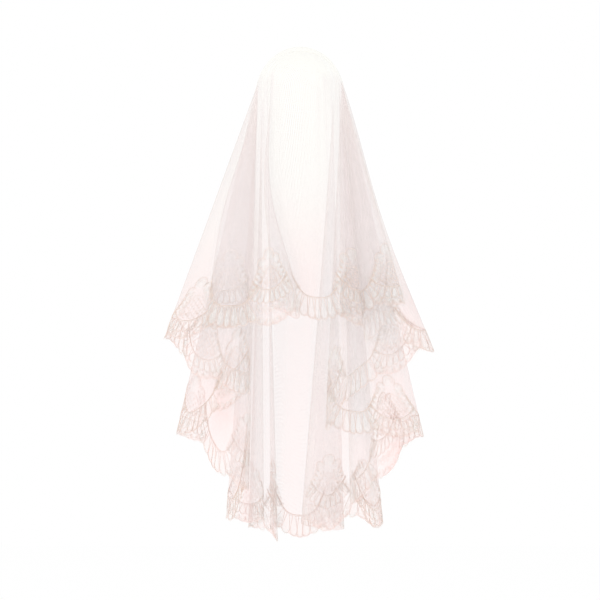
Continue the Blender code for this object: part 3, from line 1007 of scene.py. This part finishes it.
def scrolled_foot():
    """A vine between a row of curls and the scrolls of the hem."""
    x = np.linspace(-46, 46, 47)
    vine = hem_line(x) + VINE + VINE_SWING * np.sin(2 * np.pi * x / VINE_WAVE)
    strokes = [cord(np.stack([x, vine], -1), FINE_CORD)]
    for middle in np.linspace(-40, 40, SCROLLS):
        side = 1 if middle > 0 else -1
        centre = np.array((middle, float(hem_line(middle)) + SCROLL + 2.2))
        strokes.append(curl(centre, np.pi / 2 + side * 1.9, SCROLL, 1.35, side))
        strokes.append(shell(centre, SCROLL + 2, -np.pi / 2)[0])
        strokes.append(curl(centre + (0, 26), -np.pi / 2, 5.2, 1.3, -side))
        strokes.append(patch(centre + np.array(((-5, 0), (5, 0))), (8.0, 8.0)))
        strokes += lashes(centre, SCROLL + 2, -2.5, -0.6, 7)
    for middle in np.linspace(-32, 32, SCROLLS - 1):
        strokes += leaf((middle, float(hem_line(middle)) + 32), np.pi / 2, 14)
    return strokes


def medallion(bow, peak, half_width, petals, floor):
    """All of a medallion above its foot: bow, flanks, field, petals and four curls."""
    x = np.linspace(-half_width, half_width, 33)
    strokes = bow_cords(x, bow(x)) + flanks(peak, half_width + 4)
    strokes += dotted_field(bow, peak, half_width - 4)
    strokes += fan(bow, half_width - 6, petals, floor, longest=30, lean_share=0.8)
    for side in (-1, 1):
        strokes.append(curl((side * 12, bow(12) + 14), 0, 5.5, 1.4, side))
        strokes.append(curl((side * 24, bow(24) + 13), math.pi, 4.2, 1.3, -side))
    return strokes


TALL = medallion(tall_bow, peak=171, half_width=44, petals=9, floor=50) + scrolled_foot()
LOW = medallion(low_bow, peak=140, half_width=48, petals=8, floor=17) + scalloped_foot()
print("medallions:", len(TALL), "and", len(LOW), "strokes")

# %% [markdown]
# ## From the chart to the cloth
# Each stroke is read point by point: x becomes a distance along the hem and h a height above it.
# The cloth narrows towards the head, so a motif is let out a little as it rises. A long step is
# divided first, so that a cord bends round a fold with the cloth. A cord becomes a ridge with
# three sides, which is enough for something a millimetre wide, and a patch a flat ribbon.

# %% Cords and patches as meshes
LET_OUT = 0.5  # how much of the cloth's narrowing a motif makes up for
CORD_LIFT, PATCH_LIFT = 0.0008, 0.0007
CORD_HEIGHT = 0.55  # of its width
LONGEST_STEP = 6.0  # millimetres


def divided(points, widths):
    """The same line with no step longer than LONGEST_STEP."""
    steps = np.linalg.norm(np.diff(points, axis=0), axis=1)
    parts = np.maximum(1, np.ceil(steps / LONGEST_STEP)).astype(int)
    starts = [index + np.arange(count) / count for index, count in enumerate(parts)]
    at = np.concatenate([*starts, [len(steps)]])
    whole = np.arange(len(points))
    columns_read = [np.interp(at, whole, column) for column in (*points.T, widths)]
    return np.stack(columns_read[:2], -1), columns_read[2]


def on_cloth(points, number, lift):
    """Chart points in millimetres, x from the middle of a motif, as points on the cloth."""
    middle = motif_place(number)
    off = (motif_place(number + points[:, 0] / PITCH) - middle + HEM_LENGTH / 2) % HEM_LENGTH
    rise = points[:, 1] / 1000 / fall_length(middle + off - HEM_LENGTH / 2)
    along = middle + (off - HEM_LENGTH / 2) / (1 - LET_OUT * rise)
    return cloth_point(along, 2 - points[:, 1] / 1000 / fall_length(along), lift)


def cord_ridge(places, outs, sides, widths):
    """A cord: three sides and two ends."""
    ridge = places + outs * widths[:, None] * CORD_HEIGHT
    vertices = np.stack([places - sides, ridge, places + sides], axis=1).reshape(-1, 3)
    last = 3 * (len(places) - 1)
    first = np.arange(0, last, 3)[:, None]
    starts, nexts = first + (0, 1, 2), first + (1, 2, 0)
    faces = np.stack([starts, nexts, nexts + 3, starts + 3], axis=-1).reshape(-1, 4).tolist()
    return vertices, [*faces, [2, 1, 0], [last, last + 1, last + 2]]


def patch_ribbon(places, outs, sides, widths):
    vertices = np.stack([places - sides, places + sides], axis=1).reshape(-1, 3)
    starts = 2 * np.arange(len(places) - 1)
    return vertices, np.stack([starts, starts + 2, starts + 3, starts + 1], axis=-1).tolist()


def stroke_mesh(stroke, number, width_share):
    """A stroke of motif number, on the cloth."""
    points, widths = divided(stroke.points, stroke.width / 1000 * width_share)
    places, outs = on_cloth(points, number, PATCH_LIFT if stroke.patch else CORD_LIFT)
    sides = unit(np.cross(outs, np.gradient(places, axis=0))) * widths[:, None] / 2
    shape = patch_ribbon if stroke.patch else cord_ridge
    return shape(places, outs, sides, widths)


print("a cord stands", CORD_LIFT * 1000, "mm off the inner side of the wall")

# %% [markdown]
# ## Finish of the lace
# The cords are a matt cotton, a dusty blush that is deeper than the net, and a little paler and
# darker from place to place. Close work is the same cotton, worked thin enough to see through,
# so it looks pale beside the cords.

# %% Finish of the lace
THREAD_PALE, THREAD_DEEP = (0.73, 0.615, 0.545, 1.0), (0.61, 0.475, 0.42, 1.0)
CLOSE_PALE, CLOSE_DEEP = (0.78, 0.84, 0.81, 1.0), (0.72, 0.77, 0.74, 1.0)
CLOSE_COVER = 0.15
YARN_CLOUDS, WEAVE = (22.0, 4.0), (900.0, 2.0)  # scale and detail
TWIST = 420.0  # scale of the bands round a yarn


def lace_finish(name, deep, pale):
    finish, tree, shader = new_finish(name, 0.75)
    place, cloud = clouds(tree, *YARN_CLOUDS)
    colour = mixed(tree, cloud, deep, pale)
    set_inputs(tree, shader, {"Base Color": colour, "Sheen Weight": 0.2})
    return finish, tree, shader, place


def cord_finish():
    finish, tree, shader, place = lace_finish("cord_finish", THREAD_DEEP, THREAD_PALE)
    bands = {"Vector": place, "Scale": TWIST, "Distortion": 1.5}
    twist = add_node(tree, "TexWave", bands)["Fac"]
    relief = {"Height": twist, "Strength": 0.5, "Distance": 0.0002}
    set_inputs(tree, shader, {"Normal": add_node(tree, "Bump", relief)["Normal"]})
    return finish


def close_finish():
    finish, tree, shader, _ = lace_finish("close_work_finish", CLOSE_DEEP, CLOSE_PALE)
    _, weave = clouds(tree, *WEAVE)
    cover = spread(tree, weave, 0.3, 0.7, CLOSE_COVER * 0.4, CLOSE_COVER * 1.6)
    set_inputs(tree, shader, {"Alpha": cover})
    return finish


CORD_FINISH, CLOSE_FINISH = cord_finish(), close_finish()
print("lace finishes:", CORD_FINISH.name, CLOSE_FINISH.name)

# %% [markdown]
# ## Laying the lace
# The motifs go round the hem in turn: swag, low medallion, swag, tall medallion, and two of them
# have changed places. Each stroke goes to the length of lace whose stretch of the hem it lies on,
# so the four lengths part where the solids do. Some motifs that hang behind others have finer
# cords, or stacked lace would be too dark to read.

# %% Lay the lace
PARTINGS = [(fold_at[one] + fold_at[other]) / 2 for one, other in PARTED_BETWEEN]
LENGTHS = ("lace_front", "lace_right", "lace_back", "lace_left")
ORDER = (SWAG, LOW, SWAG, TALL)
EXCHANGED = {5: TALL, 7: LOW}
# Motifs with finer cords, and the share of the width that is left.
FINER = {1: 0.35, 2: 0.35, 17: 0.9, 18: 0.75, 19: 0.8, 21: 0.45, 22: 0.35, 35: 0.55, 36: 0.45}


def length_of(along):
    """The length of lace that a distance along the hem lies on."""
    return LENGTHS[sum(along % HEM_LENGTH >= parting for parting in PARTINGS) % len(LENGTHS)]


class Heap:
    """Meshes piled into one: points, faces and each face's finish."""

    def __init__(self):
        self.points, self.faces, self.finishes, self.count = [], [], [], 0

    def add(self, vertices, faces, finish):
        self.points.append(vertices)
        self.faces += [[number + self.count for number in face] for face in faces]
        self.finishes += [finish] * len(faces)
        self.count += len(vertices)


def pile_strokes():
    heaps = {name: Heap() for name in LENGTHS}
    for number in range(MOTIFS):
        width_share = FINER.get(number, 1.0)
        for stroke in EXCHANGED.get(number, ORDER[number % len(ORDER)]):
            along = motif_place(number + stroke.points[:, 0].mean() / PITCH)
            shape = stroke_mesh(stroke, number, width_share)
            heaps[length_of(along)].add(*shape, int(stroke.patch))
    return heaps


def lay_lace():
    pieces = []
    for name, heap in pile_strokes().items():
        mesh = bpy.data.meshes.new(name + "_cords")
        mesh.from_pydata(np.vstack(heap.points), [], heap.faces)
        for finish in (CORD_FINISH, CLOSE_FINISH):
            mesh.materials.append(finish)
        mesh.polygons.foreach_set("material_index", np.array(heap.finishes, np.int32))
        piece = add_object(name + "_cords", mesh)
        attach(piece, "root")
        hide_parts(name)
        mesh.calc_loop_triangles()
        print(name, len(mesh.loop_triangles), "triangles")
        pieces.append(piece)
    return pieces


lace = lay_lace()

# %% [markdown]
# ## Size of the dressed model
# The dressed model's box is printed beside that of the solids.

# %% Measure the dressed model
low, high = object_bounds()
for label, size in (("solids", cad_high - cad_low), ("dressed", high - low)):
    print(label, [round(side, 4) for side in size])
